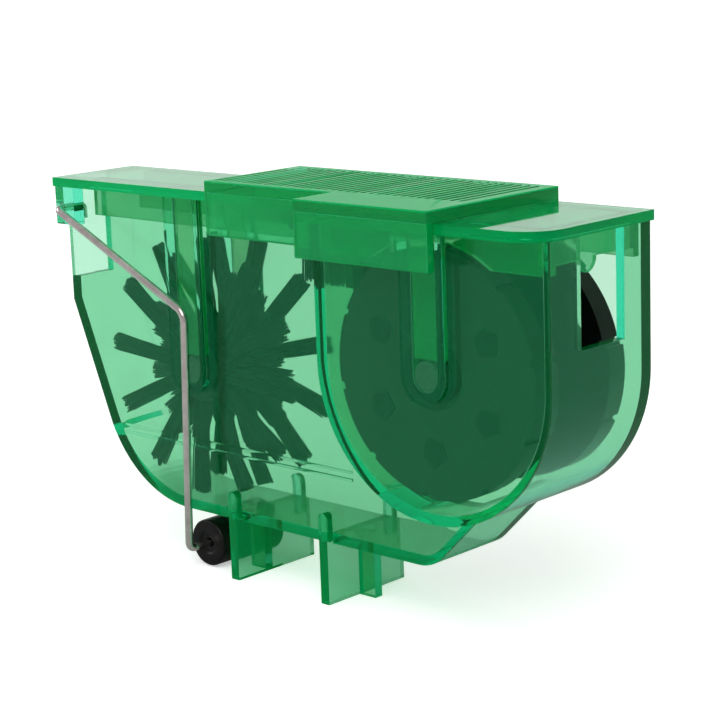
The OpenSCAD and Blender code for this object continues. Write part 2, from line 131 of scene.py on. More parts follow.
def new_piece(name: str, vertices: np.ndarray, faces: Iterable, smooth: bool = True) -> bpy.types.Object:
    """Puts arrays of points and faces into a new object.

    Args:
        name: the piece's name.
        vertices: points in the row frame, one a row.
        faces: vertex numbers of each face, turning outwards.
        smooth: True to shade the faces smooth.

    Returns:
        The new object, at the origin.
    """
    mesh = bpy.data.meshes.new(name)
    faces = faces.tolist() if isinstance(faces, np.ndarray) else list(faces)
    mesh.from_pydata(np.asarray(vertices, dtype=float), [], faces)
    mesh.validate()
    mesh.polygons.foreach_set("use_smooth", np.full(len(mesh.polygons), smooth))
    mesh.update()
    piece = bpy.data.objects.new(name, mesh)
    bpy.context.scene.collection.objects.link(piece)
    return piece


def ring_faces(rows: int, columns: int) -> np.ndarray:
    """Gives the quads of a grid whose columns close on themselves, row after row.

    Args:
        rows: number of rings of points.
        columns: points in each ring.

    Returns:
        One quad a row, as vertex numbers.
    """
    r, c = np.meshgrid(np.arange(rows - 1), np.arange(columns), indexing="ij")
    n = (c + 1) % columns
    quads = np.stack([r * columns + c, r * columns + n, (r + 1) * columns + n, (r + 1) * columns + c], axis=-1)
    return quads.reshape(-1, 4)


def swept_tube(name: str, path: np.ndarray, radius: float, sides: int) -> bpy.types.Object:
    """Carries a circle along a path and closes both ends.

    Each ring is the path point plus the radius times the cosine and sine of an even angle along two directions
    square to the path. The first direction is carried from ring to ring by taking out its part along the path.

    Args:
        name: the piece's name.
        path: points in metres, one a row.
        radius: the circle's radius in metres.
        sides: points in each ring.

    Returns:
        The tube as an object.
    """
    along = np.gradient(path, axis=0)
    along /= np.linalg.norm(along, axis=1, keepdims=True)
    side = np.zeros_like(path)
    start = np.cross(along[0], np.eye(3)[np.argmin(np.abs(along[0]))])
    side[0] = start / np.linalg.norm(start)
    for i in range(1, len(path)):
        step = side[i - 1] - along[i] * np.dot(side[i - 1], along[i])
        side[i] = step / np.linalg.norm(step)
    up = np.cross(along, side)
    turn = np.linspace(0, 2 * math.pi, sides, endpoint=False)
    ring = np.cos(turn)[None, :, None] * side[:, None, :] + np.sin(turn)[None, :, None] * up[:, None, :]
    points = (path[:, None, :] + ring * radius).reshape(-1, 3)
    faces = ring_faces(len(path), sides).tolist()
    faces.append(list(range(sides))[::-1])
    faces.append([(len(path) - 1) * sides + k for k in range(sides)])
    return new_piece(name, points, faces)


def turned(name: str, profile: np.ndarray, centre: np.ndarray, sides: int = 96) -> bpy.types.Object:
    """Turns a closed profile about an axis along Y.

    A profile point at radius r and depth y becomes the circle (r cos a, y, r sin a) about the centre.

    Args:
        name: the piece's name.
        profile: radius and depth in metres of each point, in order round the section.
        centre: a point on the axis, whose depth is zero depth.
        sides: points round the axis.

    Returns:
        The turned piece, with its faces outwards.
    """
    turn = np.linspace(0, 2 * math.pi, sides, endpoint=False)
    r, y = profile[:, 0][:, None], profile[:, 1][:, None]
    points = np.stack([r * np.cos(turn), y + 0 * turn, r * np.sin(turn)], axis=-1) + centre
    rows = len(profile)
    closed = np.concatenate([points, points[:1]]).reshape(-1, 3)
    faces = ring_faces(rows + 1, sides) % (rows * sides)
    piece = new_piece(name, closed[: rows * sides], faces)
    outwards(piece)
    return piece


def outwards(piece: bpy.types.Object) -> None:
    """Turns every face of a closed piece outwards."""
    shape = bmesh.new()
    shape.from_mesh(piece.data)
    bmesh.ops.recalc_face_normals(shape, faces=shape.faces)
    shape.to_mesh(piece.data)
    shape.free()


def rounded_section(corners: np.ndarray, radius: float, steps: int = 5) -> np.ndarray:
    """Rounds every corner of a closed outline with a quadratic curve through three points.

    Args:
        corners: the outline's corners, one a row.
        radius: distance from a corner at which its curve starts, in metres.
        steps: points on each curve.

    Returns:
        The rounded outline, one point a row.
    """
    before = np.roll(corners, 1, axis=0) - corners
    after = np.roll(corners, -1, axis=0) - corners
    cut_b = np.minimum(radius, np.linalg.norm(before, axis=1) * CORNER_SHARE)[:, None]
    cut_a = np.minimum(radius, np.linalg.norm(after, axis=1) * CORNER_SHARE)[:, None]
    first = corners + before / np.linalg.norm(before, axis=1, keepdims=True) * cut_b
    last = corners + after / np.linalg.norm(after, axis=1, keepdims=True) * cut_a
    t = np.linspace(0, 1, steps)[None, :, None]
    curve = (1 - t) ** 2 * first[:, None] + 2 * t * (1 - t) * corners[:, None] + t**2 * last[:, None]
    return curve.reshape(-1, corners.shape[1])


def joined_copies(name: str, nodes: tuple[str, ...]) -> bpy.types.Object:
    """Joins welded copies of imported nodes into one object.

    Args:
        name: the first part of the copies' names.
        nodes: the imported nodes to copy.

    Returns:
        The joined copies, at the origin.
    """
    copies = []
    for node in nodes:
        shape = bmesh.new()
        shape.from_mesh(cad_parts[node].data)
        bmesh.ops.remove_doubles(shape, verts=shape.verts, dist=WELD)
        mesh = bpy.data.meshes.new(f"{name}_{node}")
        shape.to_mesh(mesh)
        shape.free()
        copy = bpy.data.objects.new(f"{name}_{node}", mesh)
        bpy.context.scene.collection.objects.link(copy)
        copies.append(copy)
    body, *others = copies
    for other in others:
        join = body.modifiers.new("join", "BOOLEAN")
        join.operation = "UNION"
        join.solver = "EXACT"
        join.object = other
    settle(body)
    for other in others:
        bpy.data.objects.remove(other)
    return body


def weigh_edges(piece: bpy.types.Object, keep_sharp: Callable[[Vector, Vector], bool] | None, flatten: bool) -> None:
    """Gives a bevel weight to every edge that is to be rounded.

    Args:
        piece: the piece.
        keep_sharp: tells from an edge's two ends whether it stays unrounded.
        flatten: merges the faces of each plane first.
    """
    shape = bmesh.new()
    shape.from_mesh(piece.data)
    bmesh.ops.remove_doubles(shape, verts=shape.verts, dist=WELD)
    if flatten:
        bmesh.ops.dissolve_limit(
            shape, angle_limit=FLAT, use_dissolve_boundaries=False, verts=shape.verts, edges=shape.edges
        )
    layer = shape.edges.layers.float.new("bevel_weight_edge")
    for line in shape.edges:
        if len(line.link_faces) != 2 or line.calc_face_angle(0.0) < CREASE:
            continue
        a, b = line.verts[0].co, line.verts[1].co
        line[layer] = 0.0 if keep_sharp and keep_sharp(a, b) else 1.0
    shape.to_mesh(piece.data)
    shape.free()


def draw_in(piece: bpy.types.Object, nodes: tuple[str, ...], shy: float) -> None:
    """Draws a piece's surface in along its normals and keeps it inside the box of its nodes.

    Args:
        piece: the piece.
        nodes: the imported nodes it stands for.
        shy: how far the surface is drawn in, in metres.
    """
    normals = np.zeros(len(piece.data.vertices) * 3)
    places = np.zeros_like(normals)
    piece.data.vertices.foreach_get("co", places)
    piece.data.vertices.foreach_get("normal", normals)
    low = np.min([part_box(node)[0] for node in nodes], axis=0)
    high = np.max([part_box(node)[1] for node in nodes], axis=0)
    shrunk = (places - normals * shy).reshape(-1, 3)
    piece.data.vertices.foreach_set("co", np.clip(shrunk, low, high).ravel())


def rounded_copy(
    name: str,
    nodes: tuple[str, ...],
    edge: float,
    keep_sharp: Callable[[Vector, Vector], bool] | None = None,
    shy: float = 0.0,
    flatten: bool = True,
) -> bpy.types.Object:
    """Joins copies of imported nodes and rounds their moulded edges.

    Args:
        name: the piece's name.
        nodes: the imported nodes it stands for.
        edge: width of the rounding in metres.
        keep_sharp: tells from an edge's two ends whether it stays unrounded.
        shy: how far the surface is drawn in, so that touching mouldings keep an air film.
        flatten: merges the faces of each plane before the rounding.

    Returns:
        The finished piece.
    """
    body = joined_copies(name, nodes)
    weigh_edges(body, keep_sharp, flatten)
    rounding = body.modifiers.new("rounding", "BEVEL")
    rounding.limit_method = "WEIGHT"
    rounding.width = edge
    rounding.segments = SEGMENTS
    rounding.miter_outer = "MITER_ARC"
    rounding.use_clamp_overlap = True
    settle(body)
    draw_in(body, nodes, shy)
    body.data.polygons.foreach_set("use_smooth", np.ones(len(body.data.polygons), dtype=bool))
    body.data.set_sharp_from_angle(angle=SMOOTH)
    weigh = body.modifiers.new("weigh", "WEIGHTED_NORMAL")
    weigh.keep_sharp = True
    weigh.weight = FACE_WEIGHT
    settle(body)
    body.name = name
    body.data.name = name
    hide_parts(*nodes)
    return body


def settle(piece: bpy.types.Object) -> None:
    """Puts the result of a piece's modifiers into its own mesh."""
    graph = bpy.context.evaluated_depsgraph_get()
    graph.update()
    mesh = bpy.data.meshes.new_from_object(piece.evaluated_get(graph), preserve_all_data_layers=True, depsgraph=graph)
    piece.modifiers.clear()
    piece.data = mesh


# Finishes


class Nodes:
    """A small helper that adds and joins the nodes of one material or world."""

    def __init__(self, owner: bpy.types.Material | bpy.types.World, output: str = "ShaderNodeOutputMaterial") -> None:
        """Starts an empty node tree with an output.

        Args:
            owner: the material or world.
            output: the kind of its output node.
        """
        owner.use_nodes = True
        self.owner = owner
        self.tree = owner.node_tree
        self.tree.nodes.clear()
        self.output = self.add(output)

    def add(self, kind: str, **inputs: object) -> bpy.types.Node:
        """Adds a node and sets its inputs by name, with underscores for spaces."""
        node = self.tree.nodes.new(kind)
        for key, value in inputs.items():
            node.inputs[key.replace("_", " ")].default_value = value
        return node

    def link(self, source: Socket, target: Socket) -> None:
        """Joins two sockets."""
        self.tree.links.new(source, target)

    def noise(self, scale: float, detail: float = 3.0, roughness: float = 0.5) -> Socket:
        """Adds noise on object coordinates and gives its value."""
        place = self.add("ShaderNodeTexCoord")
        noise = self.add("ShaderNodeTexNoise", Scale=scale, Detail=detail, Roughness=roughness)
        self.link(place.outputs["Object"], noise.inputs["Vector"])
        return noise.outputs["Fac"]

    def ranged(self, value: Socket, source: tuple[float, float], target: tuple[float, float]) -> Socket:
        """Maps a value from one span to another and keeps it in there."""
        ranged = self.add(
            "ShaderNodeMapRange", From_Min=source[0], From_Max=source[1], To_Min=target[0], To_Max=target[1]
        )
        self.link(value, ranged.inputs["Value"])
        return ranged.outputs["Result"]

    def bump(self, height: Socket, strength: float, distance: float) -> Socket:
        """Adds a bump from a height and gives its normal."""
        bump = self.add("ShaderNodeBump", Strength=strength, Distance=distance)
        self.link(height, bump.inputs["Height"])
        return bump.outputs["Normal"]

    def colours(self, value: Socket, low: Colour, high: Colour) -> Socket:
        """Blends two colours by a value, over the span that noise fills."""
        ramp = self.add("ShaderNodeValToRGB")
        for stop, place, colour in zip(ramp.color_ramp.elements, NOISE_SPAN, (low, high)):
            stop.position = place
            stop.color = (*colour, 1)
        self.link(value, ramp.inputs["Fac"])
        return ramp.outputs["Color"]

    def mixed(self, share: Socket, first: Socket, second: Socket) -> Socket:
        """Mixes two shaders, the second one by the share."""
        mix = self.add("ShaderNodeMixShader")
        for source, target in zip((share, first, second), mix.inputs):
            self.link(source, target)
        return mix.outputs[0]

    def combined(self, operation: str, first: Socket, second: Socket, clamp: bool = False) -> Socket:
        """Works out one value from two, kept between 0 and 1 where asked."""
        node = self.add("ShaderNodeMath")
        node.operation = operation
        node.use_clamp = clamp
        self.link(first, node.inputs[0])
        self.link(second, node.inputs[1])
        return node.outputs[0]


@dataclass(frozen=True)
class ClearPlastic:
    """Transparent moulded plastic that takes light out by its thickness and lets lamps shine into the tank."""

    name: str
    absorb_colour: Colour = (0.04, 0.93, 0.82)
    density: float = 290.0
    tint: Colour = (0.97, 0.87, 0.71)
    haze_colour: Colour = (0.0, 0.46, 0.13)
    haze: float = 0.07
    shade_colour: Colour = (0.42, 0.85, 0.55)
    mirror_tint: Colour = (0.12, 0.75, 0.45)
    roughness: tuple[float, float] = (0.015, 0.06)
    patch_scale: float = 90.0
    wave_scale: float = 28.0
    wave_strength: float = 0.05
    wave_height: float = 2.0 * MM

    def make(self) -> bpy.types.Material:
        """Builds the glassy surface, the absorbing inside and the light share for lamps."""
        n = Nodes(bpy.data.materials.new(self.name))
        skin = n.add("ShaderNodeBsdfPrincipled", IOR=1.5, Transmission_Weight=1.0)
        skin.inputs["Base Color"].default_value = (*self.tint, 1)
        skin.inputs["Specular Tint"].default_value = (*self.mirror_tint, 1)
        patches = n.noise(self.patch_scale, detail=4.0, roughness=0.6)
        n.link(n.ranged(patches, NOISE_SPAN, self.roughness), skin.inputs["Roughness"])
        waves = n.noise(self.wave_scale, detail=2.0, roughness=0.4)
        n.link(n.bump(waves, self.wave_strength, self.wave_height), skin.inputs["Normal"])
        haze = n.add("ShaderNodeBsdfDiffuse", Color=(*self.haze_colour, 1))
        mist = n.add("ShaderNodeAttribute")
        mist.attribute_name = "mist"
        cloudy = n.ranged(mist.outputs["Fac"], (0.0, 1.0), (self.haze, 1.0))
        body = n.mixed(cloudy, skin.outputs[0], haze.outputs[0])
        lamps = n.add("ShaderNodeBsdfTransparent", Color=(*self.shade_colour, 1))
        path = n.add("ShaderNodeLightPath")
        surface = n.mixed(path.outputs["Is Shadow Ray"], body, lamps.outputs[0])
        n.link(surface, n.output.inputs["Surface"])
        inside = n.add("ShaderNodeVolumeAbsorption", Color=(*self.absorb_colour, 1), Density=self.density)
        n.link(inside.outputs[0], n.output.inputs["Volume"])
        return n.owner


@dataclass(frozen=True)
class Moulding:
    """Opaque moulded plastic or rubber with fine grain and slight colour drift."""

    name: str
    dark: Colour
    light: Colour
    roughness: float
    drift_scale: float = 120.0
    drift: tuple[float, float] = (0.85, 1.2)
    grain_scale: float = 2600.0
    grain: float = 0.12
    grain_height: float = 0.1 * MM
    shine: float = 0.5

    def make(self) -> bpy.types.Material:
        """Builds the colour drift, the grain bump and the roughness drift."""
        n = Nodes(bpy.data.materials.new(self.name))
        skin = n.add("ShaderNodeBsdfPrincipled", IOR=1.5, Specular_IOR_Level=self.shine)
        drift = n.noise(self.drift_scale, detail=5.0, roughness=0.65)
        span = (self.roughness * self.drift[0], self.roughness * self.drift[1])
        n.link(n.colours(drift, self.dark, self.light), skin.inputs["Base Color"])
        n.link(n.ranged(drift, NOISE_SPAN, span), skin.inputs["Roughness"])
        grain = n.noise(self.grain_scale, detail=2.0)
        n.link(n.bump(grain, self.grain, self.grain_height), skin.inputs["Normal"])
        n.link(skin.outputs[0], n.output.inputs["Surface"])
        return n.owner


@dataclass(frozen=True)
class Metal:
    """Drawn or blued steel with fine scratches and a dulled patch pattern."""

    name: str
    dark: Colour
    light: Colour
    roughness: float
    tarnish_scale: float = 160.0
    tarnish: tuple[float, float] = (0.7, 1.5)
    scratch_scale: float = 3000.0
    scratch: float = 0.15
    scratch_height: float = 0.05 * MM

    def make(self) -> bpy.types.Material:
        """Builds the metal with its tarnish drift and scratch bump."""
        n = Nodes(bpy.data.materials.new(self.name))
        skin = n.add("ShaderNodeBsdfPrincipled", Metallic=1.0)
        tarnish = n.noise(self.tarnish_scale, detail=6.0, roughness=0.7)
        span = (self.roughness * self.tarnish[0], self.roughness * self.tarnish[1])
        n.link(n.colours(tarnish, self.dark, self.light), skin.inputs["Base Color"])
        n.link(n.ranged(tarnish, NOISE_SPAN, span), skin.inputs["Roughness"])
        n.link(n.bump(n.noise(self.scratch_scale), self.scratch, self.scratch_height), skin.inputs["Normal"])
        n.link(skin.outputs[0], n.output.inputs["Surface"])
        return n.owner


@dataclass(frozen=True)
class Nylon:
    """Black nylon, lighter or darker by the tone attribute of its strands or faces."""

    name: str
    dark: float = 0.002
    light: float = 0.012
    roughness: float = 0.42
    shine: float = 0.2
    grain_scale: float = 4000.0
    grain: float = 0.1
    grain_height: float = 0.05 * MM

    def make(self) -> bpy.types.Material:
        """Builds the strand colours from the tone attribute."""
        n = Nodes(bpy.data.materials.new(self.name))
        skin = n.add("ShaderNodeBsdfPrincipled", IOR=1.53, Roughness=self.roughness, Specular_IOR_Level=self.shine)
        tone = n.add("ShaderNodeAttribute")
        tone.attribute_name = "tone"
        n.link(n.colours(tone.outputs["Fac"], (self.dark,) * 3, (self.light,) * 3), skin.inputs["Base Color"])
        grain = n.noise(self.grain_scale, detail=2.0)
        n.link(n.bump(grain, self.grain, self.grain_height), skin.inputs["Normal"])
        n.link(skin.outputs[0], n.output.inputs["Surface"])
        return n.owner


class Finishes:
    """Every finish of the cleaner, made once."""

    def __init__(self) -> None:
        """Makes all the materials."""
        self.tank = ClearPlastic("clear_green_tank").make()
        self.lid = ClearPlastic("clear_green_lid", haze_colour=(0.0, 0.56, 0.17)).make()
        self.clip = ClearPlastic(
            "clear_green_clip", density=420.0, haze_colour=(0.0, 0.52, 0.14), haze=0.1, mirror_tint=(0.6, 1.0, 0.8)
        ).make()
        self.black = Moulding(
            "black_moulding", (0.002, 0.002, 0.0025), (0.006, 0.006, 0.0065), roughness=0.24, shine=0.12
        ).make()
        self.grey = Moulding(
            "speckled_grey", (0.03, 0.033, 0.032), (0.16, 0.17, 0.165), roughness=0.5, drift_scale=1500.0
        ).make()
        self.rubber = Moulding(
            "black_rubber",
            (0.0015, 0.0012, 0.0012),
            (0.005, 0.004, 0.004),
            roughness=0.36,
            drift_scale=400.0,
            shine=0.3,
        ).make()
        self.nylon = Nylon("black_nylon").make()
        self.disc = Nylon("black_disc", light=0.032).make()
        self.wire = Metal("bright_wire", (0.66, 0.57, 0.55), (1.0, 0.92, 0.90), roughness=0.16).make()
        self.spring = Metal("blued_spring", (0.10, 0.10, 0.11), (0.24, 0.22, 0.22), roughness=0.35).make()


def mark(piece: bpy.types.Object, name: str, share: Callable[[np.ndarray], np.ndarray]) -> None:
    """Stores a share at each face, such as how cloudy a clear piece is there.

    Args:
        piece: the piece.
        name: the attribute's name, as its material reads it.
        share: works out the share, from 0 to 1, from an array of places in metres.
    """
    places = np.zeros(len(piece.data.polygons) * 3)
    piece.data.polygons.foreach_get("center", places)
    layer = piece.data.attributes.new(name, "FLOAT", "FACE")
    layer.data.foreach_set("value", share(places.reshape(-1, 3)).astype(np.float32))


def dress(piece: bpy.types.Object, finish: bpy.types.Material, body: Body) -> bpy.types.Object:
    """Gives a finished piece its material and the body that it rides on."""
    piece.data.materials.clear()
    piece.data.materials.append(finish)
    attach(piece, body.value)
    LOG.info("%s: %d faces on %s", piece.name, len(piece.data.polygons), body.value)
    return piece


# Sub-assemblies


@dataclass
class Tank:
    """The clear tank with its feet, guide channels, windows and level lines."""

    edge: float = 0.35 * MM
    film: float = 0.015 * MM
    level_low: float = 31.0 * MM
    level_high: float = 35.5 * MM
    front_wall: float = 12.8
    slack: float = 0.05 * MM
    fade: float = 4.0 * MM
    foot_mist: float = 0.34
    datum: Datum = field(default_factory=Datum)

    def is_level_line(self, a: Vector, b: Vector) -> bool:
        """Tells whether an edge belongs to the raised level lines."""
        low, high = self.level_low, self.level_high
        front = self.datum.at(0, self.front_wall, 0)[1] + self.slack
        return low < a.z < high and low < b.z < high and a.y < front and b.y < front

    def build(self, finishes: Finishes) -> None:
        """Makes the tank with its two feet in one clear moulding."""
        nodes = ("tank", "left_foot", "right_foot")
        shell = rounded_copy("tank_shell", nodes, self.edge, self.is_level_line, self.film)
        foot_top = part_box("left_foot")[1][2]
        mark(shell, "mist", lambda p: self.foot_mist * np.clip((foot_top - p[:, 2]) / self.fade, 0.0, 1.0))
        dress(shell, finishes.tank, Body.TANK)


@dataclass
class Lid:
    """The flat lid with its lip, tab and axle keepers, and the fixed brush under it."""

    edge: float = 0.3 * MM
    block_edge: float = 0.5 * MM
    film: float = 0.015 * MM
    face_depth: float = 0.4 * MM
    lip_mist: float = 0.25
    top_mist: float = 0.06

    def build(self, finishes: Finishes) -> None:
        """Makes the lid with its keeper tongues."""
        nodes = ("lid", "wheel_axle_keepers", "brush_axle_keepers")
        lid = rounded_copy("lid_plate", nodes, self.edge, shy=self.film, flatten=False)
        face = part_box("lid")[1][2] - self.face_depth
        mark(lid, "mist", lambda p: np.where(p[:, 2] < face, self.lip_mist, self.top_mist))
        dress(lid, finishes.lid, Body.LID)
        block = rounded_copy("top_brush_holder", ("top_brush_block",), self.block_edge)
        dress(block, finishes.black, Body.LID)


@dataclass
class Clip:
    """The ribbed cover clip that straddles the lid."""

    edge: float = 0.9 * MM
    film: float = 0.01 * MM
    border: float = 1.2 * MM
    rib_front: float = 7.4
    rib_depth: float = 0.8 * MM
    panel_depth: float = 1.5 * MM
    groove_depth: float = 0.3 * MM
    panel_mist: float = 0.62
    groove_mist: float = 0.1
    side_mist: float = 0.2

    def is_rib(self, a: Vector, b: Vector) -> bool:
        """Tells whether an edge lies on the grip grooves, inside the clip's smooth border."""
        low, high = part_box("cover_clip")
        middle = (a + b) / 2
        across = low[0] + self.border < middle.x < high[0] - self.border
        along = Datum().at(0, self.rib_front, 0)[1] < middle.y < high[1] - self.border
        return across and along and middle.z > high[2] - self.rib_depth

    def build(self, finishes: Finishes) -> None:
        """Makes the clip with rounded outer edges."""
        clip = rounded_copy("ribbed_clip", ("cover_clip",), self.edge, self.is_rib, self.film)
        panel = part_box("cover_clip")[1][2] - self.panel_depth
        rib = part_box("cover_clip")[1][2] - self.groove_depth
        shares = [self.panel_mist, self.groove_mist]
        mark(clip, "mist", lambda p: np.select([p[:, 2] > rib, p[:, 2] > panel], shares, self.side_mist))
        dress(clip, finishes.clip, Body.CLIP)


@dataclass
class Tufts:
    """Tufts of thin strands with cut ends, each strand a slim closed prism."""

    strands: int = 120
    radius: float = 0.17 * MM
    sides: int = 5
    bow: float = 0.12 * MM
    cut_power: float = 1.5
    tones: tuple[float, float] = (0.25, 0.75)
    seed: int = 3

    def bundle(
        self,
        roots: np.ndarray,
        out: np.ndarray,
        across: np.ndarray,
        length: float,
        root_size: tuple[float, float],
        tip_size: tuple[float, float],
        ragged: float,
    ) -> tuple[np.ndarray, np.ndarray, np.ndarray]:
        """Works out one prism a strand for every tuft.

        A strand starts at its tuft's root plus a place inside the root rectangle, and ends at the same share of
        the wider tip rectangle, with its length cut a little long or short.

        Args:
            roots: each tuft's root in metres.
            out: each tuft's unit direction.
            across: each tuft's unit direction across the tuft.
            length: the tufts' length in metres.
            root_size: size of the root rectangle across and along the axle.
            tip_size: size of the tip rectangle.
            ragged: largest shortfall of a strand's length as a share.

        Returns:
            The points, the faces and one tone per point.
        """
        rng = np.random.default_rng(self.seed)
        count = len(roots)
        share = rng.uniform(-0.5, 0.5, (count, self.strands, 2))
        axle = np.cross(out, across)
        cut = length * (1 - ragged * rng.uniform(0, 1, (count, self.strands, 1)) ** self.cut_power)

        def spread(a: np.ndarray, b: np.ndarray) -> np.ndarray:
            """Adds a part across the tuft and a part along the axle."""
            return across[:, None] * a + axle[:, None] * b

        first, second = share[..., :1], share[..., 1:]
        root = roots[:, None] + spread(first * root_size[0], second * root_size[1])
        lean = spread(first * (tip_size[0] - root_size[0]), second * (tip_size[1] - root_size[1]))
        bow = spread(rng.normal(0, 1, first.shape), rng.normal(0, 1, first.shape)) * self.bow
        t = np.array([0.0, 0.5, 1.0])
        line = (
            root[:, :, None]
            + out[:, None, None] * cut[:, :, None] * t[None, None, :, None]
            + lean[:, :, None] * t[None, None, :, None]
            + bow[:, :, None] * (4 * t * (1 - t))[None, None, :, None]
        )
        turn = np.linspace(0, 2 * math.pi, self.sides, endpoint=False)
        ring = (
            across[:, None, None, None] * np.cos(turn)[:, None] + axle[:, None, None, None] * np.sin(turn)[:, None]
        ) * self.radius
        points = (line[:, :, :, None] + ring).reshape(-1, 3)
        total = count * self.strands
        per = len(t) * self.sides
        base = np.arange(total)[:, None, None] * per
        quads = (ring_faces(len(t), self.sides)[None] + base).reshape(-1, 4).tolist()
        fan = np.arange(self.sides)
        caps = (fan[::-1][None] + base[:, 0]).tolist() + (fan[None] + per - self.sides + base[:, 0]).tolist()
        tone = np.repeat(rng.uniform(*self.tones, total), per)
        return points, quads + caps, tone

    def piece(self, name: str, points: np.ndarray, faces: list, tone: np.ndarray) -> bpy.types.Object:
        """Makes one object of all strands and stores each strand's tone."""
        piece = new_piece(name, points, faces)
        layer = piece.data.attributes.new("tone", "FLOAT", "POINT")
        layer.data.foreach_set("value", tone.astype(np.float32))
        outwards(piece)
        return piece


@dataclass(frozen=True)
class TuftRow:
    """One row of tufts round the hub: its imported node, its tufts' angles and sizes, and its random seed."""

    node: str
    phase: float
    reach: float
    root: tuple[float, float]
    tip: tuple[float, float]
    ragged: float
    seed: int
    count: int = 12
    stagger: float = 0.0


@dataclass
class Brush:
    """The rotary brush: axle, hub and three rows of tufts."""

    hub_radius: float = 8.4 * MM
    long_reach: float = 33.5 * MM
    short_reach: float = 23.5 * MM
    long_root: tuple[float, float] = (3.2 * MM, 1.9 * MM)
    long_tip: tuple[float, float] = (4.3 * MM, 2.7 * MM)
    short_root: tuple[float, float] = (2.2 * MM, 3.0 * MM)
    short_tip: tuple[float, float] = (4.2 * MM, 3.4 * MM)
    ring_in: float = 1.2 * MM
    ring_out: float = 0.4 * MM
    ring_share: float = 0.72
    ring_edge: float = 0.25 * MM
    edge: float = 0.3 * MM

    def row(self, row: TuftRow) -> bpy.types.Object:
        """Makes one row of tufts round the hub in place of a packed row.

        Tuft number i points along the angle phase + i * 360 / count, turned from +X towards -Z. Every other tuft
        stands forward by the row's stagger, and the rest stand back by it.

        Args:
            row: what the row is like.

        Returns:
            The row as one piece.
        """
        middle = centre_of("brush_axle")
        low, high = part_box(row.node)
        middle[1] = (low[1] + high[1]) / 2
        angle = np.radians(row.phase + np.arange(row.count) * 360 / row.count)
        out = np.stack([np.cos(angle), 0 * angle, -np.sin(angle)], axis=-1)
        across = np.stack([-np.sin(angle), 0 * angle, -np.cos(angle)], axis=-1)
        sign = np.where(np.arange(row.count) % 2, 1.0, -1.0)
        roots = middle + out * self.hub_radius + np.stack([0 * sign, sign * row.stagger, 0 * sign], axis=-1)
        maker = Tufts(seed=row.seed)
        points, faces, tone = maker.bundle(
            roots, out, across, row.reach - self.hub_radius, row.root, row.tip, row.ragged
        )
        tufts = maker.piece(f"{row.node}_tufts", points, faces, tone)
        joined = merge(f"{row.node}_row", [tufts, self.ring(row.node, middle, (high[1] - low[1]) * self.ring_share)])
        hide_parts(row.node)
        return joined

    def ring(self, node: str, middle: np.ndarray, width: float) -> bpy.types.Object:
        """Makes the ring that a row's tufts are set in, with rounded edges."""
        inner, outer = self.hub_radius - self.ring_in, self.hub_radius + self.ring_out
        corners = np.array([[inner, -width / 2], [outer, -width / 2], [outer, width / 2], [inner, width / 2]])
        return turned(f"{node}_ring", rounded_section(corners, self.ring_edge), middle)

    def build(self, finishes: Finishes) -> None:
        """Makes the rows, the hub and the axle."""
        outer = (self.long_reach, self.long_root, self.long_tip, 0.07)
        inner = (self.short_reach, self.short_root, self.short_tip, 0.14)
        rows = (
            TuftRow("front_brush_bristles", 5.0, *outer, seed=11),
            TuftRow("middle_brush_bristles", 20.0, *inner, seed=12, count=24, stagger=1.5 * MM),
            TuftRow("rear_brush_bristles", 17.0, *outer, seed=13),
        )
        for row in rows:
            dress(self.row(row), finishes.nylon, Body.BRUSH)
        dress(rounded_copy("brush_core", ("brush_hub",), self.edge), finishes.black, Body.BRUSH)
        dress(rounded_copy("brush_spindle", ("brush_axle",), self.edge), finishes.grey, Body.BRUSH)


def merge(name: str, pieces: list[bpy.types.Object]) -> bpy.types.Object:
    """Puts several pieces into one, keeping the first one's attributes.

    Args:
        name: the new piece's name.
        pieces: the pieces to put together, each at the origin.

    Returns:
        The one piece.
    """
    shape = bmesh.new()
    for piece in pieces:
        shape.from_mesh(piece.data)
    mesh = bpy.data.meshes.new(name)
    shape.to_mesh(mesh)
    shape.free()
    for piece in pieces:
        bpy.data.objects.remove(piece)
    mesh.polygons.foreach_set("use_smooth", np.ones(len(mesh.polygons), dtype=bool))
    whole = bpy.data.objects.new(name, mesh)
    bpy.context.scene.collection.objects.link(whole)
    return whole


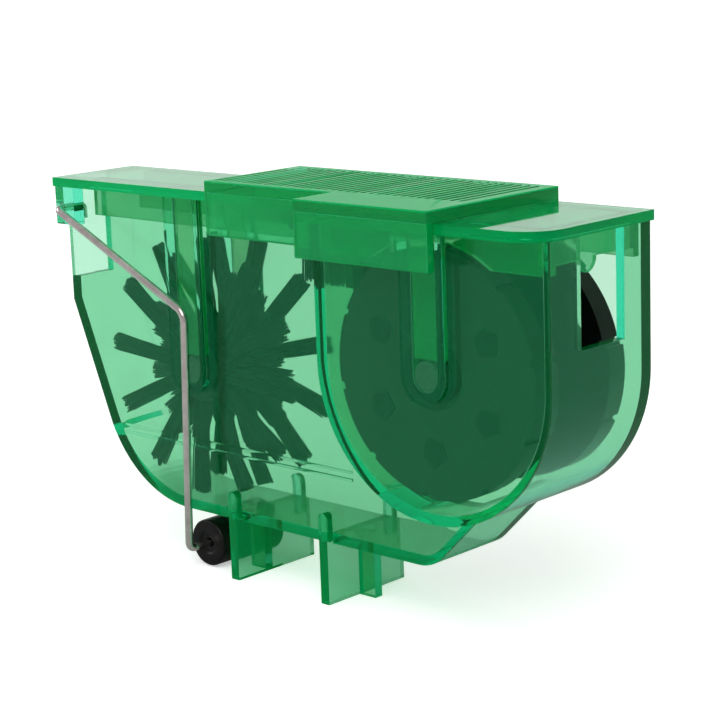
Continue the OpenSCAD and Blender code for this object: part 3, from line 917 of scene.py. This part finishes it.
@dataclass
class TopBrush:
    """The fixed brush under the lid: two rows of hanging tufts."""

    tufts: int = 6
    rows: tuple[float, float] = (0.26, 0.74)
    strands: int = 55
    sink: float = 0.6 * MM
    root: tuple[float, float] = (2.6 * MM, 2.4 * MM)
    tip: tuple[float, float] = (3.6 * MM, 3.2 * MM)
    ragged: float = 0.1
    plate: float = 0.8 * MM
    corner: float = 0.8 * MM
    seed: int = 21

    def build(self, finishes: Finishes) -> None:
        """Hangs the tufts in a plate under the block."""
        low, high = (np.array(c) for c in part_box("top_brush_bristles"))
        pitch = (high[0] - low[0]) / self.tufts
        i, row = np.meshgrid(np.arange(self.tufts), np.array(self.rows), indexing="ij")
        x = low[0] + pitch * (i.ravel() + 0.5)
        y = low[1] + (high[1] - low[1]) * row.ravel()
        roots = np.stack([x, y, np.full_like(x, high[2] - self.sink)], axis=-1)
        out = np.tile([0.0, 0.0, -1.0], (len(x), 1))
        across = np.tile([1.0, 0.0, 0.0], (len(x), 1))
        maker = Tufts(strands=self.strands, seed=self.seed)
        length = high[2] - self.sink - low[2]
        points, faces, tone = maker.bundle(roots, out, across, length, self.root, self.tip, self.ragged)
        tufts = maker.piece("hanging_tufts", points, faces, tone)
        corners = np.array([[low[0], low[1]], [high[0], low[1]], [high[0], high[1]], [low[0], high[1]]])
        outline = rounded_section(corners, self.corner)
        top, bottom = high[2], high[2] - self.plate
        rings = np.concatenate([np.c_[outline, np.full(len(outline), z)] for z in (bottom, top)])
        count = len(outline)
        quads = ring_faces(2, count).tolist() + [list(range(count))[::-1], list(range(count, 2 * count))]
        plate = new_piece("tuft_plate", rings, quads, smooth=False)
        outwards(plate)
        whole = merge("hanging_brush", [tufts, plate])
        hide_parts("top_brush_bristles")
        dress(whole, finishes.nylon, Body.LID)


@dataclass
class Wheel:
    """The guide wheel: two notched discs, a core and an axle."""

    edge: float = 0.45 * MM
    pad: float = 0.25 * MM
    face: float = 1.4 * MM

    def tone(self, places: np.ndarray) -> np.ndarray:
        """Gives the discs' outer faces a lighter tone than the rest and than the pads that stand proud of them."""
        front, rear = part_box("wheel_front_disc")[0][1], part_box("wheel_rear_disc")[1][1]
        depth = np.minimum(places[:, 1] - front, rear - places[:, 1])
        return np.where((depth > self.pad) & (depth < self.face), 1.0, 0.0)

    def build(self, finishes: Finishes) -> None:
        """Makes the four turned and moulded parts."""
        for name, node in (("front_disc", "wheel_front_disc"), ("rear_disc", "wheel_rear_disc")):
            disc = rounded_copy(name, (node,), self.edge)
            mark(disc, "tone", self.tone)
            dress(disc, finishes.disc, Body.WHEEL)
        dress(rounded_copy("core", ("wheel_core",), self.edge), finishes.black, Body.WHEEL)
        dress(rounded_copy("wheel_spindle", ("wheel_axle",), self.edge), finishes.grey, Body.WHEEL)


@dataclass
class Arm:
    """The bent wire, its roller and the push nut that keeps the roller on."""

    wire: float = 1.0 * MM
    bend: float = 1.9 * MM
    knee: float = 4.0 * MM
    knee_x: float = 49.6
    knee_z: float = 68.1
    hinge_z: float = 90.9
    hook_x: float = 1.8
    hook_y: float = 17.6
    hook: float = 3.4 * MM
    hook_bend: float = 1.05 * MM
    wire_sides: int = 24
    gap: float = 0.08 * MM
    dish: float = 0.5 * MM
    dish_inner: float = 0.42
    dish_outer: float = 0.5
    roller_edge: float = 0.7 * MM
    nut_edge: float = 0.2 * MM
    datum: Datum = field(default_factory=Datum)

    @staticmethod
    def rounded_path(corners: np.ndarray, radii: list[float], steps: int = 14) -> np.ndarray:
        """Joins straight runs by true arcs, each tangent to its two runs.

        Args:
            corners: the path's corners in metres.
            radii: the arc radius at each inner corner.
            steps: points on each arc.

        Returns:
            The path, one point a row.
        """
        points = [corners[:1]]
        for i, radius in enumerate(radii, start=1):
            u = corners[i] - corners[i - 1]
            v = corners[i + 1] - corners[i]
            u, v = u / np.linalg.norm(u), v / np.linalg.norm(v)
            turn = math.acos(float(np.clip(np.dot(u, v), -1, 1)))
            m = v - u * np.dot(u, v)
            m /= np.linalg.norm(m)
            centre = corners[i] - u * radius * math.tan(turn / 2) + m * radius
            a = np.linspace(0, turn, steps)[:, None]
            points.append(centre - m * radius * np.cos(a) + u * radius * np.sin(a))
        points.append(corners[-1:])
        return np.concatenate(points)

    def build(self, finishes: Finishes) -> None:
        """Makes the wire from its corners, then the roller and the nut."""
        low, high = (np.array(c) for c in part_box("arm_wire"))
        roller_low, roller_high = (np.array(c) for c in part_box("roller"))
        roller = (roller_low + roller_high) / 2
        pivot = np.array([low[0] + self.wire, low[1] + self.wire, self.datum.at(0, 0, self.hinge_z)[2]])
        knee = self.datum.at(self.knee_x, 0, self.knee_z)
        knee[1] = pivot[1]
        heel = np.array([roller[0], pivot[1], roller[2]])
        tail = np.array([roller[0], high[1], roller[2]])
        inner = self.datum.at(self.hook_x, self.hook_y, self.hinge_z)
        tip = inner - np.array([0, 0, self.hook])
        corners = np.array([tip, inner, pivot, knee, heel, tail])
        path = self.rounded_path(corners, [self.hook_bend, self.bend, self.knee, self.bend])
        wire = swept_tube("bent_wire", path, self.wire, self.wire_sides)
        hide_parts("arm_wire")
        dress(wire, finishes.wire, Body.ARM)
        r, half = (roller_high[0] - roller_low[0]) / 2, (roller_high[1] - roller_low[1]) / 2
        hole, near, far, floor = self.wire + self.gap, r * self.dish_inner, r * self.dish_outer, half - self.dish
        front = np.array([[hole, -floor], [near, -floor], [far, -half], [r, -half]])
        section = np.concatenate([front, front[::-1] * (1, -1)])
        body = turned("rubber_roller", rounded_section(section, self.roller_edge), roller)
        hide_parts("roller")
        dress(body, finishes.rubber, Body.ROLLER)
        nut = rounded_copy("push_nut", ("arm_push_nut",), self.nut_edge)
        dress(nut, finishes.spring, Body.ARM)


# Studio


@dataclass(frozen=True)
class Lamp:
    """One soft rectangular lamp: where it hangs, what it faces, its size in metres and its power in watts."""

    name: str
    place: tuple[float, float, float]
    target: tuple[float, float, float]
    size: tuple[float, float]
    power: float

    def hang(self) -> None:
        """Hangs the lamp, out of sight of the camera and of rays through the plastic."""
        data = bpy.data.lights.new(self.name, "AREA")
        data.shape = "RECTANGLE"
        data.size, data.size_y = self.size
        data.energy = self.power
        lamp = bpy.data.objects.new(self.name, data)
        lamp.location = self.place
        aim = Vector(self.target) - Vector(self.place)
        lamp.rotation_euler = aim.to_track_quat("-Z", "Y").to_euler()
        lamp.visible_camera = False
        lamp.visible_transmission = False
        bpy.context.scene.collection.objects.link(lamp)


@dataclass
class Studio:
    """The pale floor, the soft lamps, the white surroundings and the camera."""

    yaw: float = math.radians(43.55)
    pitch: float = math.radians(12.07)
    roll: float = math.radians(-2.08)
    aim: tuple[float, float, float] = (115.2, 0.0, 66.5)
    distance: float = 458.0 * MM
    lens: float = 103.2
    sensor: float = 36.0
    reach: tuple[float, float] = (0.01, 100.0)
    floor_size: float = 24.0
    floor_gap: float = 0.02 * MM
    floor_roughness: float = 0.6
    paper: float = 0.86
    mirrored_paper: float = 0.5
    lift: float = 0.46
    lit: float = 0.8
    room: float = 0.45
    datum: Datum = field(default_factory=Datum)

    def camera(self) -> None:
        """Places the camera that the photograph was taken with."""
        f = np.array([
            -math.sin(self.yaw) * math.cos(self.pitch), math.cos(self.yaw) * math.cos(self.pitch), -math.sin(self.pitch)
        ])
        r = np.array([math.cos(self.yaw), math.sin(self.yaw), 0.0])
        u = np.cross(r, f)
        c, s = math.cos(self.roll), math.sin(self.roll)
        r, u = c * r + s * u, -s * r + c * u
        place = self.datum.at(*self.aim) - f * self.distance
        data = bpy.data.cameras.new("camera")
        data.lens = self.lens
        data.sensor_width = self.sensor
        data.clip_start, data.clip_end = self.reach
        camera = bpy.data.objects.new("camera", data)
        columns = np.column_stack([r, u, -f])
        camera.matrix_world = Matrix.Translation(Vector(place)) @ Matrix(columns.tolist()).to_4x4()
        bpy.context.scene.collection.objects.link(camera)
        bpy.context.scene.camera = camera

    def world(self) -> None:
        """Makes the surroundings: white where they are seen, softer where they light the object."""
        world = bpy.data.worlds.new("studio")
        bpy.context.scene.world = world
        n = Nodes(world, "ShaderNodeOutputWorld")
        seen = n.add("ShaderNodeBackground", Color=(1, 1, 1, 1))
        lit = n.add("ShaderNodeBackground", Strength=self.lit)
        room = n.add("ShaderNodeBackground", Strength=self.room)
        path = n.add("ShaderNodeLightPath")
        straight = n.combined("MAXIMUM", path.outputs["Is Camera Ray"], path.outputs["Is Transmission Ray"])
        dim = n.mixed(path.outputs["Is Glossy Ray"], lit.outputs[0], room.outputs[0])
        n.link(n.mixed(straight, dim, seen.outputs[0]), n.output.inputs["Surface"])

    def floor(self) -> None:
        """Lays a wide pale floor that keeps the object's shadow and reads white elsewhere."""
        half = self.floor_size / 2
        corners = np.array([[-half, -half, 0], [half, -half, 0], [half, half, 0], [-half, half, 0]])
        corners[:, 2] = -self.floor_gap
        floor = new_piece("floor", corners, [[0, 1, 2, 3]], smooth=False)
        n = Nodes(bpy.data.materials.new("pale_floor"))
        paper, dull = (
            n.add("ShaderNodeBsdfDiffuse", Color=(tone, tone, tone, 1), Roughness=self.floor_roughness)
            for tone in (self.paper, self.mirrored_paper)
        )
        lift = n.add("ShaderNodeEmission")
        path = n.add("ShaderNodeLightPath")
        straight = n.combined("MAXIMUM", path.outputs["Is Camera Ray"], path.outputs["Is Transmission Ray"])
        n.link(n.ranged(straight, (0.0, 1.0), (0.0, self.lift)), lift.inputs["Strength"])
        glossy = n.combined("SUBTRACT", path.outputs["Is Glossy Ray"], path.outputs["Is Transmission Ray"], clamp=True)
        both = n.add("ShaderNodeAddShader")
        n.link(n.mixed(glossy, paper.outputs[0], dull.outputs[0]), both.inputs[0])
        n.link(lift.outputs[0], both.inputs[1])
        n.link(both.outputs[0], n.output.inputs["Surface"])
        floor.data.materials.append(n.owner)

    def build(self) -> None:
        """Sets up the whole studio."""
        self.camera()
        self.floor()
        self.world()
        for lamp in (
            Lamp("key", (0.55, -0.75, 0.95), (0, 0, 0.05), (0.7, 0.7), 5.0),
            Lamp("fill", (-0.9, -0.35, 0.6), (0, 0, 0.05), (0.6, 0.6), 2.0),
            Lamp("back", (-0.75, 0.85, 0.34), (0, 0, 0.07), (1.1, 0.5), 1.05),
        ):
            lamp.hang()
        bpy.context.scene.view_settings.view_transform = "Standard"


def main() -> None:
    """Builds the cleaner and its studio in order."""
    logging.basicConfig(level=logging.INFO, format="%(name)s: %(message)s")
    finishes = Finishes()
    Studio().build()
    for part in (Tank(), Lid(), Clip(), TopBrush(), Brush(), Wheel(), Arm()):
        part.build(finishes)
        LOG.info("built %s", type(part).__name__)


if __name__ == "__main__":
    main()
